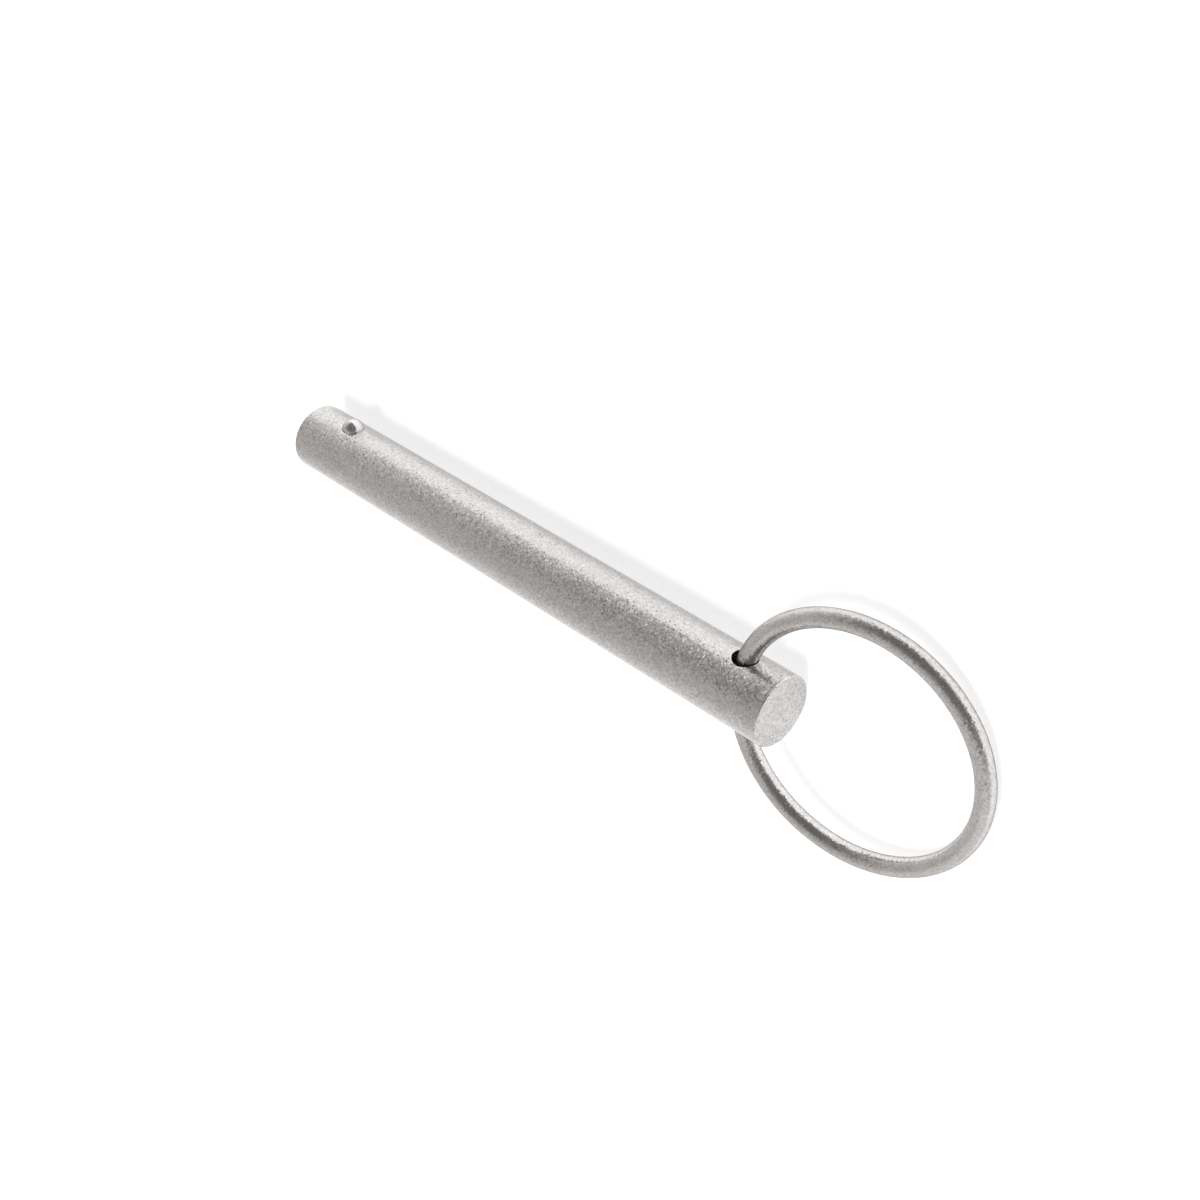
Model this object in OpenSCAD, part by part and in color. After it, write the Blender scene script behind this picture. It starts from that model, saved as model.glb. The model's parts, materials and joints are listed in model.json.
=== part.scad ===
// Quick release pin: a solid round shank with a sprung detent ball near the tip and a loose pull
// ring through the other end. All lengths are in millimetres.
//
// The pin lies on a level surface: shank axis along X with the tip at +X, ring hole along Y, detent
// ball towards -Y, and the ring tipped down until its far side touches that surface. The origin is
// on the shank axis, midway between the ring hole and the ball.

/* [Shank] */
// Diameter of the shank
shank_d = 9.525; // [9:0.025:12.7]
// Distance from the ring hole's axis to the ball's axis
hole_to_ball = 75; // [50:0.5:120]
// Distance from the ring hole's axis to the end face beside it
hole_to_end = 6; // [5:0.1:10]
// Distance from the ball's axis to the tip face
ball_to_tip = 8.3; // [5:0.1:12]
// Edge break on the end beside the ring
end_break = 0.1; // [0.05:0.05:0.6]
// Lead-in chamfer on the tip
tip_chamfer = 0.3; // [0.1:0.05:1]

/* [Pull ring] */
// Diameter of the ring, measured at the middle of its wire
ring_d = 32.9; // [28:0.1:40]
// Diameter of the ring's wire
ring_wire_d = 2.5; // [1.8:0.1:3]
// Play of the curved wire in its straight hole, all round
ring_play = 0.06; // [0.05:0.01:0.25]
// Depth of the countersink at each mouth of the ring hole
hole_break = 0.06; // [0.05:0.01:0.4]

/* [Detent] */
// Diameter of the detent ball
ball_d = 3.175; // [2.9:0.005:4]
// Height to which the ball stands out of the shank
ball_proud = 1.3; // [0.9:0.01:1.5]
// Gap between the ball and its pocket, all round
pocket_clear = 0.02; // [0.01:0.005:0.05]
// Gap between the ball and the staked lip that keeps it in
lip_clear = 0.015; // [0.01:0.005:0.03]
// Metal left between the pocket's drill point and the shank's far side
pocket_wall = 1.6; // [1.2:0.05:2]
// Full angle of the drill point
point_angle = 118; // [90:1:140]

/* [Spring] */
// Diameter of the spring's wire
spring_wire_d = 0.36; // [0.3:0.01:0.45]
// Gap between the spring and the pocket's wall, all round
spring_clear = 0.3; // [0.2:0.01:0.4]
// Gap at each end of the spring, to the ball and to the pocket's floor
seat_clear = 0.02; // [0.01:0.005:0.05]
// Number of open turns between the closed end turns
open_turns = 5; // [3:1:6]

/* [Hidden] */

facets = 96; // round forms
wire_sides = 8; // section of the spring's wire
steps_per_turn = 20; // rings of points in each turn of the spring
coil_gap = 0.03; // between touching end turns, so that the solid doesn't meet itself
over = 1; // how far a cutter runs past the face that it cuts

shank_r = shank_d / 2;
hole_x = -hole_to_ball / 2;
ball_x = hole_to_ball / 2;
end_x = hole_x - hole_to_end;
tip_x = ball_x + ball_to_tip;

// The wire is curved and its hole is straight. At the hole's middle the wire's outer side lies one
// wire radius from its centre line; at the mouths its inner side has drawn away by mouth_offset.
ring_r = ring_d / 2;
wire_r = ring_wire_d / 2;
mouth_offset = ring_r - sqrt(pow(ring_r - wire_r, 2) - pow(shank_r, 2));
hole_r = (wire_r + mouth_offset) / 2 + ring_play;
ring_centre = ring_r - (mouth_offset - wire_r) / 2; // from the hole's axis
ring_droop = asin((shank_r - wire_r) / (ring_centre + ring_r)); // far side on the surface below

// Heights in the pocket are measured from the shank's axis towards the ball.
ball_r = ball_d / 2;
ball_height = shank_r + ball_proud - ball_r;
pocket_r = ball_r + pocket_clear;
lip_r = sqrt(pow(ball_r, 2) - pow(shank_r - ball_height, 2)) + lip_clear;
point_slope = tan(90 - point_angle / 2);
pocket_tip = pocket_wall - shank_r;
pocket_shoulder = pocket_tip + pocket_r * point_slope;

// The end turns rest on the drill point's cone and under the ball.
spring_wire_r = spring_wire_d / 2;
coil_r = pocket_r - spring_clear - spring_wire_r;
spring_bottom = pocket_tip + coil_r * point_slope
    + (spring_wire_r + seat_clear) / sin(point_angle / 2);
spring_top = ball_height - sqrt(pow(ball_r + spring_wire_r + seat_clear, 2) - pow(coil_r, 2));
closed_pitch = spring_wire_d + coil_gap;
open_pitch = (spring_top - spring_bottom - 2 * closed_pitch) / open_turns;
all_turns = open_turns + 2;

// Turns +Z, the axis of every revolved form, to the axis that is named.
module along_x() rotate([0, 90, 0]) children();
module along_hole() rotate([90, 0, 0]) children();
module at_ball() translate([ball_x, 0, 0]) along_hole() children();

// Round bar with its two ends broken.
module bar() {
    along_x() rotate_extrude($fn = facets) polygon([
        [0, end_x],
        [shank_r - end_break, end_x],
        [shank_r, end_x + end_break],
        [shank_r, tip_x - tip_chamfer],
        [shank_r - tip_chamfer, tip_x],
        [0, tip_x],
    ]);
}

// Cutter for the ring hole, with a countersink at each mouth.
module ring_hole() {
    translate([hole_x, 0, 0]) along_hole() {
        cylinder(r = hole_r, h = 2 * (shank_r + over), center = true, $fn = facets);
        for (side = [0, 1]) mirror([0, 0, side]) translate([0, 0, shank_r - hole_break])
            cylinder(r1 = hole_r, r2 = hole_r + hole_break + over, h = hole_break + over,
                $fn = facets);
    }
}

// Cutter for the ball's blind pocket: drill point, bore, and the lip staked in above the ball's
// middle.
module ball_pocket() {
    at_ball() rotate_extrude($fn = facets) polygon([
        [0, pocket_tip],
        [pocket_r, pocket_shoulder],
        [pocket_r, ball_height],
        [lip_r, shank_r],
        [lip_r, shank_r + over],
        [0, shank_r + over],
    ]);
}

module shank() {
    color("darkgray") difference() {
        bar();
        ring_hole();
        ball_pocket();
    }
}

module detent_ball() {
    color("gainsboro") at_ball() translate([0, 0, ball_height]) sphere(r = ball_r, $fn = facets);
}

// Height of the spring's centre line after a number of turns: closed, open, closed.
function coil_height(turn) = spring_bottom
    + closed_pitch * (min(turn, 1) + max(turn - 1 - open_turns, 0))
    + open_pitch * max(min(turn - 1, open_turns), 0);

// Point on the wire's surface, at an angle round its section.
function coil_point(turn, angle) = let (r = coil_r + spring_wire_r * cos(angle))
    [r * cos(360 * turn), r * sin(360 * turn), coil_height(turn) + spring_wire_r * sin(angle)];

module detent_spring() {
    last = all_turns * steps_per_turn;
    points = [for (i = [0 : last], j = [0 : wire_sides - 1])
        coil_point(i / steps_per_turn, 360 * j / wire_sides)];
    walls = [for (i = [0 : last - 1], j = [0 : wire_sides - 1])
        let (k = (j + 1) % wire_sides, a = i * wire_sides, b = a + wire_sides)
            [a + j, a + k, b + k, b + j]];
    start_cap = [[for (j = [wire_sides - 1 : -1 : 0]) j]];
    end_cap = [[for (j = [0 : wire_sides - 1]) last * wire_sides + j]];
    color("silver") at_ball() polyhedron(points, concat(walls, start_cap, end_cap), convexity = 8);
}

module pull_ring() {
    color("silver") translate([hole_x, 0, 0]) rotate([0, -ring_droop, 0])
        translate([-ring_centre, 0, 0]) rotate_extrude($fn = facets) translate([ring_r, 0])
            circle(r = wire_r, $fn = facets / 2);
}

shank();
detent_ball();
detent_spring();
pull_ring();
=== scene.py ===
import json
import math

import bpy
import numpy as np
from mathutils import Matrix, Vector


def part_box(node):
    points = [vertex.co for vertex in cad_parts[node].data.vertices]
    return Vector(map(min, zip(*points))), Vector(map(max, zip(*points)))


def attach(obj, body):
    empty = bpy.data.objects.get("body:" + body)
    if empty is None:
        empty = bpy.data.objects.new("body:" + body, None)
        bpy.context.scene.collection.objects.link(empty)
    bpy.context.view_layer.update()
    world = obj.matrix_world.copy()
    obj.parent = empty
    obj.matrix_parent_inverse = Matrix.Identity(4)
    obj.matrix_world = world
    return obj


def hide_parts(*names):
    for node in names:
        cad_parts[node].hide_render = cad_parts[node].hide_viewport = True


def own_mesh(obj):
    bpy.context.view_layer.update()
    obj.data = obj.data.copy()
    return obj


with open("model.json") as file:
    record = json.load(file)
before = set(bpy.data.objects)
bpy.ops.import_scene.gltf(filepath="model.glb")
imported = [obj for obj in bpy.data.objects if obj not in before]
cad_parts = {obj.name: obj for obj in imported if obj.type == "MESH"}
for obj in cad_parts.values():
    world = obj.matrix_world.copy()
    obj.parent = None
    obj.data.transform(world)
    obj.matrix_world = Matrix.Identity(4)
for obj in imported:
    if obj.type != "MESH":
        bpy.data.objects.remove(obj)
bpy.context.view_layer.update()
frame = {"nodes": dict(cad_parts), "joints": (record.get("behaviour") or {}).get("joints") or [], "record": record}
nodes = frame["nodes"]
joints = {joint["name"]: joint for joint in frame["joints"]}
mounts = {mount["name"]: mount for mount in frame["record"]["mounts"]}
print("frame loaded:", ", ".join(sorted(nodes)))

# Places that the frame fixes. Lengths are in metres here; materials turn them into millimetres.
mm = 0.001
shankLow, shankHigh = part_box("shank")
ballLow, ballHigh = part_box("detent_ball")
springLow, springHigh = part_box("detent_spring")
shankRadius = shankHigh.z
floorHeight = shankLow.z
holeX = joints["ring_swing"]["pos_m"][0]
ballCentre = (ballLow + ballHigh) / 2
ringLow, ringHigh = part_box("pull_ring")
ringCentre = (ringLow + ringHigh) / 2
ringWireRadius = mounts["ring_loop"]["dims"]["length_mm"] * mm / 2
ringRadius = mounts["ring_loop"]["dims"]["r_mm"] * mm + ringWireRadius  # to the middle of the wire
ringTilt = math.atan2(ringCentre.z, holeX - ringCentre.x)  # turn about Y of the ring's plane


def mouthRadius(node, x):
    # radius of the hole along Y at x: the least distance from its axis to a point near the front skin
    skinFrom = 0.85 * shankRadius
    vertices = nodes[node].data.vertices
    points = np.empty(len(vertices) * 3)
    vertices.foreach_get("co", points)
    points = points.reshape(-1, 3)
    near = points[points[:, 1] < -skinFrom]
    return float(np.hypot(near[:, 0] - x, near[:, 2]).min())


holeRadius = mouthRadius("shank", holeX)
pocketRadius = mouthRadius("shank", ballCentre.x)
print("mouths in mm: ring hole", round(holeRadius / mm, 3), "ball pocket", round(pocketRadius / mm, 3))

# Short helpers for node trees.


def newTree(owner):
    owner.use_nodes = True
    owner.node_tree.nodes.clear()
    return owner.node_tree


def put(tree, kind, inputs=(), **settings):  # adds a node; settings are its own, inputs feed its sockets
    node = tree.nodes.new("ShaderNode" + kind)
    for name, value in settings.items():
        setattr(node, name, value)
    for socket, value in dict(inputs).items():
        feed(tree, node.inputs[socket], value)
    return node


def feed(tree, socket, value):  # a socket takes either another socket or a plain value
    if isinstance(value, bpy.types.NodeSocket):
        tree.links.new(value, socket)
    else:
        socket.default_value = value


def calc(tree, operation, *values):
    node = put(tree, "Math", operation=operation)
    for socket, value in zip(node.inputs, values):
        feed(tree, socket, value)
    return node.outputs[0]


def total(tree, *values):
    result = values[0]
    for value in values[1:]:
        result = calc(tree, "ADD", result, value)
    return result


def times(tree, *values):
    result = values[0]
    for value in values[1:]:
        result = calc(tree, "MULTIPLY", result, value)
    return result


def smooth(tree, value, low, high):  # 0 at low, 1 at high, with an S-shaped step between them
    node = put(tree, "MapRange", {"Value": value, "From Min": low, "From Max": high},
               interpolation_type="SMOOTHSTEP")
    return node.outputs["Result"]


def swing(tree, value, amount):  # turns 0..1 into -amount/2..amount/2
    return times(tree, calc(tree, "SUBTRACT", value, 0.5), amount)


def colourMix(tree, share, first, second):
    node = put(tree, "Mix", data_type="RGBA")
    feed(tree, node.inputs["Factor"], share)
    feed(tree, node.inputs["A"], first)
    feed(tree, node.inputs["B"], second)
    return node.outputs["Result"]


def scaled(tree, vector, amount):
    node = put(tree, "VectorMath", {0: vector}, operation="SCALE")
    feed(tree, node.inputs["Scale"], amount)
    return node.outputs["Vector"]


def stretched(tree, vector, factors):
    return put(tree, "VectorMath", {0: vector, 1: factors}, operation="MULTIPLY").outputs["Vector"]


def reach(tree, spot, centre, counted):  # distance from centre, along the axes whose counted is 1
    away = put(tree, "VectorMath", {0: spot, 1: centre}, operation="SUBTRACT")
    return put(tree, "VectorMath", {0: stretched(tree, away.outputs["Vector"], counted)},
               operation="LENGTH").outputs["Value"]


# Camera.

cameraView = {
    "aim": (-13.1 * mm, -0.5 * mm, 0.0),
    "azimuth": -44.8,  # degrees round the object, 0 looks along +Y
    "elevation": 35.5,
    "roll": -119.1,
    "distance": 217 * mm,
    "lens": 50.84,
    "sensor": 36,
    "clip": (0.01, 20),
}


def makeCamera(view):
    azimuth, elevation = math.radians(view["azimuth"]), math.radians(view["elevation"])
    back = Vector((math.sin(azimuth) * math.cos(elevation),
                   -math.cos(azimuth) * math.cos(elevation), math.sin(elevation)))
    level = (-back).to_track_quat("-Z", "Y").to_matrix()
    turned = level @ Matrix.Rotation(math.radians(view["roll"]), 3, "Z")
    data = bpy.data.cameras.new("camera")
    data.lens, data.sensor_width = view["lens"], view["sensor"]
    data.clip_start, data.clip_end = view["clip"]
    camera = bpy.data.objects.new("camera", data)
    place = Vector(view["aim"]) + back * view["distance"]
    camera.matrix_world = Matrix.Translation(place) @ turned.to_4x4()
    bpy.context.scene.collection.objects.link(camera)
    bpy.context.scene.camera = camera


makeCamera(cameraView)
print("camera set")

# Studio: a pale floor, a soft sky with three grey cards in it, and one soft lamp.

studio = {
    "floorSize": 6.0,
    "floorColour": (0.72, 0.72, 0.72, 1),
    "floorLift": 0.62,  # own light that the camera and reflections see, so that the floor reads as white
    "sky": (0.85, 0.83, 0.81, 1),
}
skyCards = {  # where each hangs, the cosines where it begins and is full, and the share of light it takes
    "cameraSide": {"towards": (-0.5, -0.7, 0.51), "begins": 0.15, "full": 0.85, "takes": 0.78},
    "ceiling": {"towards": (0.45, 0.05, 0.89), "begins": 0.5, "full": 0.98, "takes": 0.38},
    "front": {"towards": (0.45, -0.75, 0.45), "begins": 0.72, "full": 0.98, "takes": 0.16},
}
lamp = {"at": (-0.05, 0.2, 0.78), "size": 0.4, "power": 3.4}  # metres and watts


def seenDirectly(tree):  # 1 for camera, glossy and transmission rays
    path = put(tree, "LightPath").outputs
    either = calc(tree, "MAXIMUM", path["Is Camera Ray"], path["Is Glossy Ray"])
    return calc(tree, "MAXIMUM", either, path["Is Transmission Ray"])


def makeFloor(look):
    half = look["floorSize"] / 2
    corners = [(-half, -half), (half, -half), (half, half), (-half, half)]
    mesh = bpy.data.meshes.new("floor")
    mesh.from_pydata([(x, y, floorHeight) for x, y in corners], [], [(0, 1, 2, 3)])
    floor = bpy.data.objects.new("floor", mesh)
    bpy.context.scene.collection.objects.link(floor)
    material = bpy.data.materials.new("paleFloor")
    tree = newTree(material)
    paint = put(tree, "BsdfDiffuse", {"Color": look["floorColour"]})
    lift = put(tree, "Emission", {"Color": (1, 1, 1, 1),
                                  "Strength": times(tree, seenDirectly(tree), look["floorLift"])})
    both = put(tree, "AddShader", {0: paint.outputs[0], 1: lift.outputs[0]})
    put(tree, "OutputMaterial", {"Surface": both.outputs[0]})
    mesh.materials.append(material)


def makeSky(look, cards):
    world = bpy.data.worlds.new("studio")
    bpy.context.scene.world = world
    tree = newTree(world)
    direction = put(tree, "TexCoord").outputs["Generated"]
    left = 1.0  # the share of light that the cards so far leave
    for card in cards.values():
        facing = put(tree, "VectorMath", {0: direction, 1: card["towards"]}, operation="DOT_PRODUCT")
        covered = smooth(tree, facing.outputs["Value"], card["begins"], card["full"])
        left = times(tree, left, calc(tree, "SUBTRACT", 1.0, times(tree, covered, card["takes"])))
    soft = colourMix(tree, left, (0, 0, 0, 1), look["sky"])
    shown = colourMix(tree, put(tree, "LightPath").outputs["Is Camera Ray"], soft, (1, 1, 1, 1))
    sky = put(tree, "Background", {"Color": shown, "Strength": 1.0})
    put(tree, "OutputWorld", {"Surface": sky.outputs[0]})


def makeLamp(look):
    data = bpy.data.lights.new("softLamp", "AREA")
    data.size, data.energy = look["size"], look["power"]
    hung = bpy.data.objects.new("softLamp", data)
    hung.location = look["at"]
    hung.rotation_euler = (-Vector(look["at"])).to_track_quat("-Z", "Y").to_euler()
    hung.visible_glossy = False  # it lights the floor, with no hot spot of its own on the steel
    bpy.context.scene.collection.objects.link(hung)


makeFloor(studio)
makeSky(studio, skyCards)
makeLamp(lamp)
print("studio ready")

# New pieces. Each is a surface worked out on a grid: points[i, j] is step i along it and side j round it.


def surfacePiece(name, points, joined):
    # faces join each step to the next, and the last to the first if joined; a cut end gets one flat face
    steps, sides = points.shape[:2]
    i = np.arange(steps if joined else steps - 1)[:, None]
    j = np.arange(sides)[None, :]
    nextI, nextJ = (i + 1) % steps, (j + 1) % sides
    here, ahead = i * sides, nextI * sides
    corners = np.stack([here + j, ahead + j, ahead + nextJ, here + nextJ], axis=-1)
    step, side = i + 0 * j, j + 0 * i
    along = np.stack([step, step + 1, step + 1, step], axis=-1) / len(i)
    across = np.stack([side, side, side + 1, side + 1], axis=-1) / sides
    faces = corners.reshape(-1, 4).tolist()
    uv = np.stack([along, across], axis=-1).reshape(-1, 2)
    if not joined:
        faces.append(list(range(sides)))
        faces.append(list(range(steps * sides - 1, (steps - 1) * sides - 1, -1)))
        uv = np.concatenate([uv, np.zeros((sides, 2)), np.ones((sides, 2))])
    mesh = bpy.data.meshes.new(name)
    mesh.from_pydata(points.reshape(-1, 3).tolist(), [], faces)
    mesh.uv_layers.new(name="alongWire").data.foreach_set("uv", uv.astype(np.float32).ravel())
    mesh.shade_smooth()
    mesh.validate()
    piece = bpy.data.objects.new(name, mesh)
    bpy.context.scene.collection.objects.link(piece)
    return piece


ringLook = {
    "steps": 288,
    "sides": 48,
    "colour": (0.66, 0.646, 0.64, 1),
    # painted shade on the wire seen edge-on, through its edge tint
    "edgeOnShade": 0.42,
    "roughness": 0.28,
    "thinned": 0.999,       # of the wire's radius, to stay inside the frame's ring
    "grain": 0.17,          # mm
    "tilt": 0.08,
    "lineLength": 7.0,      # of the drawing marks, in mm
    "lineCount": 7.0,       # of them across the wire
    "lineDepth": 0.0012,    # mm
    "patchSize": 5.0,       # mm
    "innerFrom": -0.55,     # cosine round the wire from which the inside of the ring is polished
    "speckTone": 0.3,       # how far specks, lines and patches vary the tone, and how much the polish adds
    "lineTone": 0.14,
    "patchTone": 0.05,
    "innerTone": 0.04,
    "lineRoughness": 0.04,  # and the same for roughness
    "patchRoughness": 0.02,
    "innerRoughness": -0.04,
}


def makeRing(look):
    # a circle of the wire's radius carried round the ring: (R + w cos b) (cos a, sin a), height w sin b
    a = np.linspace(0, 2 * np.pi, look["steps"], endpoint=False)[:, None]
    b = np.linspace(0, 2 * np.pi, look["sides"], endpoint=False)[None, :]
    wire = ringWireRadius * look["thinned"]
    out = ringRadius + wire * np.cos(b)
    flat = np.stack([out * np.cos(a), out * np.sin(a), wire * np.sin(b) + 0 * a], axis=-1)
    turn = np.array(Matrix.Rotation(ringTilt, 3, "Y"))
    return surfacePiece("pullRing", flat @ turn.T + np.array(ringCentre), joined=True)


springLook = {
    "wire": 0.36,                   # mm
    "turns": 7,                     # with the closed ones
    "closed": 1,                    # closed turns at each end
    "closedPitch": 0.39,            # mm
    "easing": 0.3,                  # turns over which the pitch opens and closes
    "steps": 448,
    "sides": 16,
    "colour": (0.5, 0.49, 0.475, 1),
    # painted shade on the wire seen edge-on, through its edge tint
    "edgeOnShade": 0.8,
    "roughness": 0.26,
    "lineDepth": 0.0008,            # mm
    "linesPerTurn": 3,              # drawing marks, one after the other along a turn
    "lineCount": 4.0,               # of them across the wire
    "patchSize": 1.5,               # mm
    "straw": (0.52, 0.47, 0.4, 1),  # tint that tempering has left in patches
    "strawShare": 0.5,
    "lineTone": 0.3,
    "lineRoughness": 0.14,
}


def makeSpring(look):
    # a helix round the pocket's axis, whose pitch is small over the closed turns and opens between them;
    # its height is the running sum of the pitch, and the wire is a circle carried along it
    wire = look["wire"] * mm / 2
    turn = np.linspace(0, look["turns"], look["steps"] + 1)
    fromEnd = np.minimum(turn, look["turns"] - turn)
    opening = np.clip((fromEnd - look["closed"] + look["easing"] / 2) / look["easing"], 0, 1)
    opening = opening * opening * (3 - 2 * opening)  # an S-shaped step
    share = np.concatenate([[0], np.cumsum((opening[1:] + opening[:-1]) / 2 * np.diff(turn))])
    length = springHigh.y - springLow.y - 2 * wire
    spare = length - look["closedPitch"] * mm * look["turns"]
    height = look["closedPitch"] * mm * turn + spare * share / share[-1]
    radius = (springHigh.x - springLow.x) / 2 - wire
    angle = 2 * np.pi * turn
    outward = np.stack([np.cos(angle), 0 * angle, np.sin(angle)], axis=-1)
    axis = np.stack([ballCentre.x + 0 * turn, springHigh.y - wire - height, 0 * turn], axis=-1)
    centres = axis + radius * outward
    ahead = np.gradient(centres, axis=0)
    side = np.cross(outward, ahead / np.linalg.norm(ahead, axis=1, keepdims=True))
    a = np.linspace(0, 2 * np.pi, look["sides"], endpoint=False)[None, :, None]
    points = centres[:, None] + wire * (np.cos(a) * outward[:, None] + np.sin(a) * side[:, None])
    return surfacePiece("detentSpring", points, joined=False)


ring = makeRing(ringLook)
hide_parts("pull_ring")
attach(ring, "ring")
print("pull ring made")

spring = makeSpring(springLook)
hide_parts("detent_spring")
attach(spring, "shank")
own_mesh(spring)
print("detent spring made")

# Effects that several finishes share, each a node group. Positions and sizes in them are in millimetres.


def newGroup(name, inputs, outputs):  # both are names with a kind of socket; an input may have a value
    tree = bpy.data.node_groups.new(name, "ShaderNodeTree")
    for label, kind, *value in inputs:
        socket = tree.interface.new_socket(label, in_out="INPUT", socket_type="NodeSocket" + kind)
        if value:
            socket.default_value = value[0]
    for label, kind in outputs:
        tree.interface.new_socket(label, in_out="OUTPUT", socket_type="NodeSocket" + kind)
    given, result = tree.nodes.new("NodeGroupInput"), tree.nodes.new("NodeGroupOutput")
    return tree, given.outputs, result.inputs


def use(tree, group, **inputs):
    node = put(tree, "Group")
    node.node_tree = group
    for name, value in inputs.items():
        feed(tree, node.inputs[name], value)
    return node.outputs


def makeBlastedGrain():  # small facets left by beads, each tipped its own way and lighter or darker
    tree, given, result = newGroup("blastedGrain",
                                   [("Position", "Vector"), ("Size", "Float", 0.2),
                                    ("Tilt", "Float", 0.1), ("Normal", "Vector")],
                                   [("Normal", "Vector"), ("Speck", "Float")])
    speckScale = 0.9  # specks have cells of their own, a little larger than the facets
    scale = calc(tree, "DIVIDE", 1.0, given["Size"])
    facet = put(tree, "TexVoronoi", {"Vector": given["Position"], "Scale": scale})
    # the cell's random colour as a direction, each part from -1 to 1
    tip = put(tree, "VectorMath", {0: facet.outputs["Color"], 1: (2, 2, 2), 2: (-1, -1, -1)},
              operation="MULTIPLY_ADD").outputs["Vector"]
    # its squared length leaves most facets almost flat
    squared = put(tree, "VectorMath", {0: tip, 1: tip}, operation="DOT_PRODUCT").outputs["Value"]
    tipped = scaled(tree, tip, times(tree, given["Tilt"], squared))
    leaning = put(tree, "VectorMath", {0: given["Normal"], 1: tipped}, operation="ADD")
    unit = put(tree, "VectorMath", {0: leaning.outputs["Vector"]}, operation="NORMALIZE")
    tree.links.new(unit.outputs["Vector"], result["Normal"])
    other = put(tree, "TexVoronoi", {"Vector": given["Position"], "Scale": times(tree, scale, speckScale)})
    speck = put(tree, "SeparateColor", {0: other.outputs["Color"]}).outputs[0]
    tree.links.new(speck, result["Speck"])
    return tree


def makeCloud():  # slow, soft changes over a surface, as handling and uneven blasting leave
    tree, given, result = newGroup("cloud", [("Position", "Vector"), ("Size", "Float", 8.0)],
                                   [("Value", "Float")])
    thin, thick = 0.3, 0.7  # the part of the noise's range that is spread from 0 to 1
    scale = calc(tree, "DIVIDE", 1.0, given["Size"])
    noise = put(tree, "TexNoise", {"Vector": given["Position"], "Scale": scale, "Detail": 3.0,
                                   "Roughness": 0.55, "Distortion": 0.4})
    tree.links.new(smooth(tree, noise.outputs["Fac"], thin, thick), result["Value"])
    return tree


def makeEdgeRub():  # metal burnished where an edge is handled: full on the edge, breaking up behind it
    tree, given, result = newGroup("edgeRub", [("Position", "Vector"), ("Distance", "Float", 1.0),
                                               ("Width", "Float", 0.5)], [("Mask", "Float")])
    least = 0.4  # share of the width that is rubbed where the noise is 0
    noise = put(tree, "TexNoise", {"Vector": given["Position"], "Scale": 2.2, "Detail": 2.0})
    uneven = times(tree, given["Width"], calc(tree, "ADD", least, noise.outputs["Fac"]))
    near = calc(tree, "DIVIDE", given["Distance"], uneven)
    tree.links.new(smooth(tree, near, 1.0, 0.0), result["Mask"])
    return tree


def makeScuffs():  # sparse thin scratches: the lines along which a drawn-out noise crosses its middle
    tree, given, result = newGroup("scuffs", [("Position", "Vector"), ("Width", "Float", 0.02),
                                              ("Share", "Float", 0.5)], [("Mask", "Float")])
    noise = put(tree, "TexNoise", {"Vector": given["Position"], "Scale": 1.0, "Detail": 0.0})
    line = calc(tree, "ABSOLUTE", calc(tree, "SUBTRACT", noise.outputs["Fac"], 0.5))
    line = smooth(tree, line, given["Width"], 0.0)
    spread, softness = 0.31, 0.06  # of the noise that picks which stretches of the lines show
    wide = scaled(tree, given["Position"], spread)
    where = put(tree, "TexNoise", {"Vector": wide, "Scale": 1.0, "Detail": 1.0})
    limit = calc(tree, "SUBTRACT", 1.0, given["Share"])
    chosen = smooth(tree, where.outputs["Fac"], calc(tree, "SUBTRACT", limit, softness),
                    calc(tree, "ADD", limit, softness))
    tree.links.new(times(tree, line, chosen), result["Mask"])
    return tree


def makeDrawnLines():  # die marks along a wire: Along is the place down it, Cosine and Sine round it
    tree, given, result = newGroup("drawnLines", [("Along", "Vector"), ("Cosine", "Float", 0.0),
                                                  ("Sine", "Float", 0.0), ("Count", "Float", 6.0)],
                                   [("Height", "Float")])
    lift = put(tree, "CombineXYZ", {"Z": times(tree, given["Cosine"], given["Count"])})
    place = put(tree, "VectorMath", {0: given["Along"], 1: lift.outputs[0]}, operation="ADD")
    fourth = times(tree, given["Sine"], given["Count"])
    noise = put(tree, "TexNoise", {"Vector": place.outputs[0], "W": fourth, "Scale": 1.0, "Detail": 2.0},
                noise_dimensions="4D")
    tree.links.new(noise.outputs["Fac"], result["Height"])
    return tree


blastedGrain = makeBlastedGrain()
cloud = makeCloud()
edgeRub = makeEdgeRub()
scuffs = makeScuffs()
drawnLines = makeDrawnLines()
print("effect groups built")

# Finishes. Heights are in millimetres until the Bump node's Distance turns them into metres.


def startFinish(name):
    material = bpy.data.materials.new(name)
    tree = newTree(material)
    return material, tree, scaled(tree, put(tree, "TexCoord").outputs["Object"], 1 / mm)


def bumped(tree, height):
    return put(tree, "Bump", {"Height": height, "Strength": 1.0, "Distance": mm}).outputs["Normal"]


def endFinish(tree, colour, roughness, normal, edgeOnShade):
    # the Specular Tint darkens the metal seen edge-on: painted shade along the outlines
    tint = (edgeOnShade, edgeOnShade, edgeOnShade, 1)
    shader = put(tree, "BsdfPrincipled", {"Base Color": colour, "Metallic": 1.0, "Roughness": roughness,
                                          "Specular Tint": tint, "Normal": normal})
    put(tree, "OutputMaterial", {"Surface": shader.outputs[0]})


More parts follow.
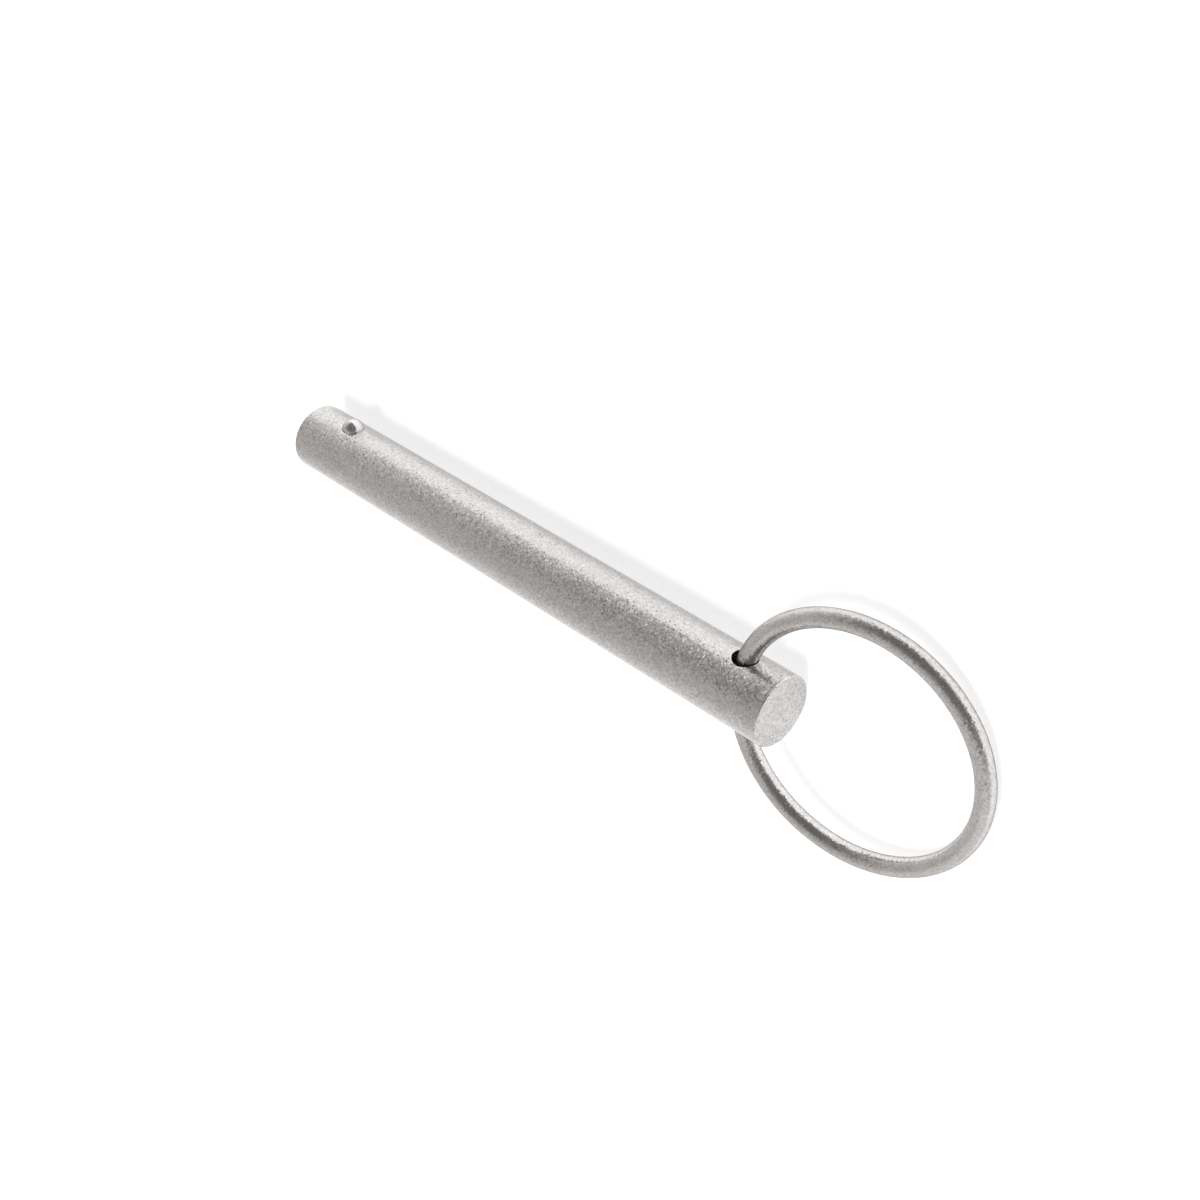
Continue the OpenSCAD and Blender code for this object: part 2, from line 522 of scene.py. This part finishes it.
shankLook = {
    "colour": (0.655, 0.644, 0.64, 1),
    "warm": (0.64, 0.616, 0.595, 1),   # tint of the patches
    "warmShare": 0.3,                  # of it where they are thickest
    "bore": (0.3, 0.288, 0.278, 1),    # painted shade over the drilled metal inside the hole and the pocket
    "boreFrom": 0.35,                  # depths in mm over which it takes over from the skin
    "boreTo": 0.8,
    "boreReach": (0.2, 0.1),           # mm past the hole's wall where it ends, and where it is full
    "edgeOnShade": 0.85,                   # painted shade, through the edge tint, on the metal where it is seen edge-on
    "roughness": 0.285,
    "grain": 0.19,                     # size of the blasted facets in mm
    "tilt": 0.1,                       # how far they tip
    "patchSize": 6.0,                  # mm
    "patchStretch": (0.4, 1, 1),       # longer along the shank
    "rubWidth": 0.35,                  # worn band along the edges, in mm
    "scuffStretch": (0.12, 2.4, 2.4),  # long along the shank and close together round it
    "scuffWidth": 0.03,                # as the noise measures it
    "scuffShare": 0.42,                # of the surface, roughly, that has scuffs
    "scuffDepth": 0.001,               # mm
    "faceBand": 0.02,                  # mm from an end plane that count as its face
    "turnedPitch": 0.3,                # between the faint tool marks on the end faces, in mm
    "turnedDepth": 0.0006,             # mm
    "faceShade": 0.83,                  # painted shade on the two end faces, against the round surface
    "speckTone": 0.36,                 # how far specks and patches vary the tone
    "patchTone": 0.05,
    "rubTone": 0.07,                   # and what worn edges and scuffs add to it
    "scuffTone": 0.05,
    "speckRoughness": 0.02,            # the same for roughness
    "patchRoughness": 0.02,
    "rubRoughness": -0.05,
    "boreRoughness": 0.15,
}


def makeShankFinish(look):
    material, tree, spot = startFinish("satinShank")
    x, y = put(tree, "SeparateXYZ", {0: spot}).outputs[:2]
    radius = reach(tree, spot, (0, 0, 0), (0, 1, 1))
    under = calc(tree, "SUBTRACT", shankRadius / mm, radius)
    depth = calc(tree, "MAXIMUM", under, 0.0)  # below the round skin

    def past(distance):  # how far an edge is, along the skin or on the other side of the edge
        return calc(tree, "ADD", calc(tree, "MAXIMUM", distance, 0.0), depth)

    hole = reach(tree, spot, (holeX / mm, 0, 0), (1, 0, 1))
    pocket = reach(tree, spot, (ballCentre.x / mm, 0, 0), (1, 0, 1))
    toHead = calc(tree, "SUBTRACT", x, shankLow.x / mm)
    toTip = calc(tree, "SUBTRACT", shankHigh.x / mm, x)
    toHole = calc(tree, "SUBTRACT", hole, holeRadius / mm)
    # the pocket is blind, so the skin opposite it counts as far from its mouth
    backFrom, backTo, farAway = 0.7 * shankRadius / mm, 0.8 * shankRadius / mm, 100.0
    back = smooth(tree, y, backFrom, backTo)
    toPocket = total(tree, pocket, -pocketRadius / mm, times(tree, back, farAway))
    ends = calc(tree, "MINIMUM", toHead, toTip)
    mouths = calc(tree, "MINIMUM", toHole, toPocket)
    edge = calc(tree, "MINIMUM", past(ends), past(mouths))
    onFace = smooth(tree, ends, look["faceBand"], 0.0)
    # the hole and the pocket: painted shade in the colour, and a rougher drilled finish
    boreShadeAndDrilling = times(tree, smooth(tree, mouths, *look["boreReach"]),
                   smooth(tree, depth, look["boreFrom"], look["boreTo"]))

    patchPlace = stretched(tree, spot, look["patchStretch"])
    patch = use(tree, cloud, Position=patchPlace, Size=look["patchSize"])["Value"]
    rub = use(tree, edgeRub, Position=spot, Distance=edge, Width=look["rubWidth"])["Mask"]
    rub = times(tree, rub, calc(tree, "SUBTRACT", 1.0, boreShadeAndDrilling))
    scuffPlace = stretched(tree, spot, look["scuffStretch"])
    scuff = use(tree, scuffs, Position=scuffPlace, Width=look["scuffWidth"],
                Share=look["scuffShare"])["Mask"]
    scuff = times(tree, scuff, calc(tree, "SUBTRACT", 1.0, onFace))
    turned = calc(tree, "SINE", times(tree, radius, 2 * math.pi / look["turnedPitch"]))
    marks = bumped(tree, total(tree, times(tree, scuff, -look["scuffDepth"]),
                               times(tree, onFace, turned, look["turnedDepth"])))
    grain = use(tree, blastedGrain, Position=spot, Size=look["grain"], Tilt=look["tilt"], Normal=marks)
    speck = grain["Speck"]

    # the tone puts painted shade on the end faces; specks, patches, worn edges and scuffs are the metal's own
    tone = total(tree, 1.0, swing(tree, speck, look["speckTone"]), swing(tree, patch, look["patchTone"]),
                 times(tree, rub, look["rubTone"]), times(tree, scuff, look["scuffTone"]),
                 times(tree, onFace, look["faceShade"] - 1))
    metal = colourMix(tree, times(tree, patch, look["warmShare"]), look["colour"], look["warm"])
    # painted shade darkens the colour inside the hole and the pocket
    colour = scaled(tree, colourMix(tree, boreShadeAndDrilling, metal, look["bore"]), tone)
    roughness = total(tree, look["roughness"], swing(tree, speck, look["speckRoughness"]),
                      swing(tree, patch, look["patchRoughness"]), times(tree, rub, look["rubRoughness"]),
                      times(tree, boreShadeAndDrilling, look["boreRoughness"]))
    endFinish(tree, colour, roughness, grain["Normal"], look["edgeOnShade"])
    return material


def makeRingFinish(look):
    # the pattern is read in the ring's own plane, so the marks follow the wire
    material, tree, spot = startFinish("satinRing")
    own = put(tree, "Mapping", {"Vector": spot, "Location": ringCentre / mm,
                                "Rotation": (0, ringTilt, 0)}, vector_type="TEXTURE").outputs["Vector"]
    across = calc(tree, "SUBTRACT", reach(tree, own, (0, 0, 0), (1, 1, 0)), ringRadius / mm)
    cosine = calc(tree, "DIVIDE", across, ringWireRadius / mm)
    sine = calc(tree, "DIVIDE", put(tree, "SeparateXYZ", {0: own}).outputs["Z"], ringWireRadius / mm)
    along = scaled(tree, stretched(tree, own, (1, 1, 0)), 1 / look["lineLength"])
    lines = use(tree, drawnLines, Along=along, Cosine=cosine, Sine=sine, Count=look["lineCount"])["Height"]
    grain = use(tree, blastedGrain, Position=spot, Size=look["grain"], Tilt=look["tilt"],
                Normal=bumped(tree, times(tree, lines, look["lineDepth"])))
    patch = use(tree, cloud, Position=spot, Size=look["patchSize"])["Value"]
    inner = smooth(tree, cosine, look["innerFrom"], -1.0)  # polished by the hole and by fingers
    tone = total(tree, 1.0, swing(tree, grain["Speck"], look["speckTone"]),
                 swing(tree, lines, look["lineTone"]), swing(tree, patch, look["patchTone"]),
                 times(tree, inner, look["innerTone"]))
    roughness = total(tree, look["roughness"], swing(tree, lines, look["lineRoughness"]),
                      swing(tree, patch, look["patchRoughness"]),
                      times(tree, inner, look["innerRoughness"]))
    endFinish(tree, scaled(tree, look["colour"][:3], tone), roughness, grain["Normal"], look["edgeOnShade"])
    return material


ballLook = {
    "colour": (0.72, 0.711, 0.71, 1),
    # painted shade on the ball seen edge-on, through its edge tint
    "edgeOnShade": 0.5,
    "roughness": 0.2,
    "grain": 0.18,           # mm
    "tilt": 0.06,
    "crownFull": 0.14,       # mm down from the top of the ball to which hole edges have polished it
    "crownEnds": 0.56,
    "scuffStretch": (1.2, 5, 5),
    "scuffWidth": 0.04,      # as the noise measures it
    "scuffShare": 0.5,
    "scuffDepth": 0.0008,    # mm
    "speckTone": 0.3,        # how far specks vary the tone, and what polish and scuffs add to it
    "crownTone": 0.04,
    "scuffTone": -0.06,
    "speckRoughness": 0.04,  # and the same for roughness
    "crownRoughness": -0.04,
    "scuffRoughness": 0.08,
}


def makeBallFinish(look):
    material, tree, spot = startFinish("rubbedBall")
    y = put(tree, "SeparateXYZ", {0: spot}).outputs["Y"]
    fromTop = calc(tree, "SUBTRACT", y, ballLow.y / mm)
    scuffPlace = stretched(tree, spot, look["scuffStretch"])
    scuff = use(tree, scuffs, Position=scuffPlace, Width=look["scuffWidth"],
                Share=look["scuffShare"])["Mask"]
    grain = use(tree, blastedGrain, Position=spot, Size=look["grain"], Tilt=look["tilt"],
                Normal=bumped(tree, times(tree, scuff, -look["scuffDepth"])))
    crown = smooth(tree, fromTop, look["crownEnds"], look["crownFull"])
    tone = total(tree, 1.0, swing(tree, grain["Speck"], look["speckTone"]),
                 times(tree, crown, look["crownTone"]), times(tree, scuff, look["scuffTone"]))
    roughness = total(tree, look["roughness"], swing(tree, grain["Speck"], look["speckRoughness"]),
                      times(tree, crown, look["crownRoughness"]),
                      times(tree, scuff, look["scuffRoughness"]))
    endFinish(tree, scaled(tree, look["colour"][:3], tone), roughness, grain["Normal"], look["edgeOnShade"])
    return material


def makeSpringFinish(look):
    # the piece's own map runs along the wire and round it
    material, tree, spot = startFinish("drawnSpringWire")
    own = put(tree, "SeparateXYZ", {0: put(tree, "UVMap", uv_map="alongWire").outputs["UV"]}).outputs
    around = times(tree, own["Y"], 2 * math.pi)
    down = times(tree, own["X"], look["turns"] * look["linesPerTurn"])
    along = put(tree, "CombineXYZ", {"X": down}).outputs[0]
    lines = use(tree, drawnLines, Along=along, Cosine=calc(tree, "COSINE", around),
                Sine=calc(tree, "SINE", around), Count=look["lineCount"])["Height"]
    patch = use(tree, cloud, Position=spot, Size=look["patchSize"])["Value"]
    colour = colourMix(tree, times(tree, patch, look["strawShare"]), look["colour"], look["straw"])
    tone = total(tree, 1.0, swing(tree, lines, look["lineTone"]))
    roughness = total(tree, look["roughness"], swing(tree, lines, look["lineRoughness"]))
    marks = bumped(tree, times(tree, lines, look["lineDepth"]))
    endFinish(tree, scaled(tree, colour, tone), roughness, marks, look["edgeOnShade"])
    return material


def dress(piece, material):
    piece.data.materials.clear()
    piece.data.materials.append(material)


dress(nodes["shank"], makeShankFinish(shankLook))
dress(nodes["detent_ball"], makeBallFinish(ballLook))
dress(ring, makeRingFinish(ringLook))
dress(spring, makeSpringFinish(springLook))
print("finishes on")

bpy.context.scene.view_settings.view_transform = "Standard"
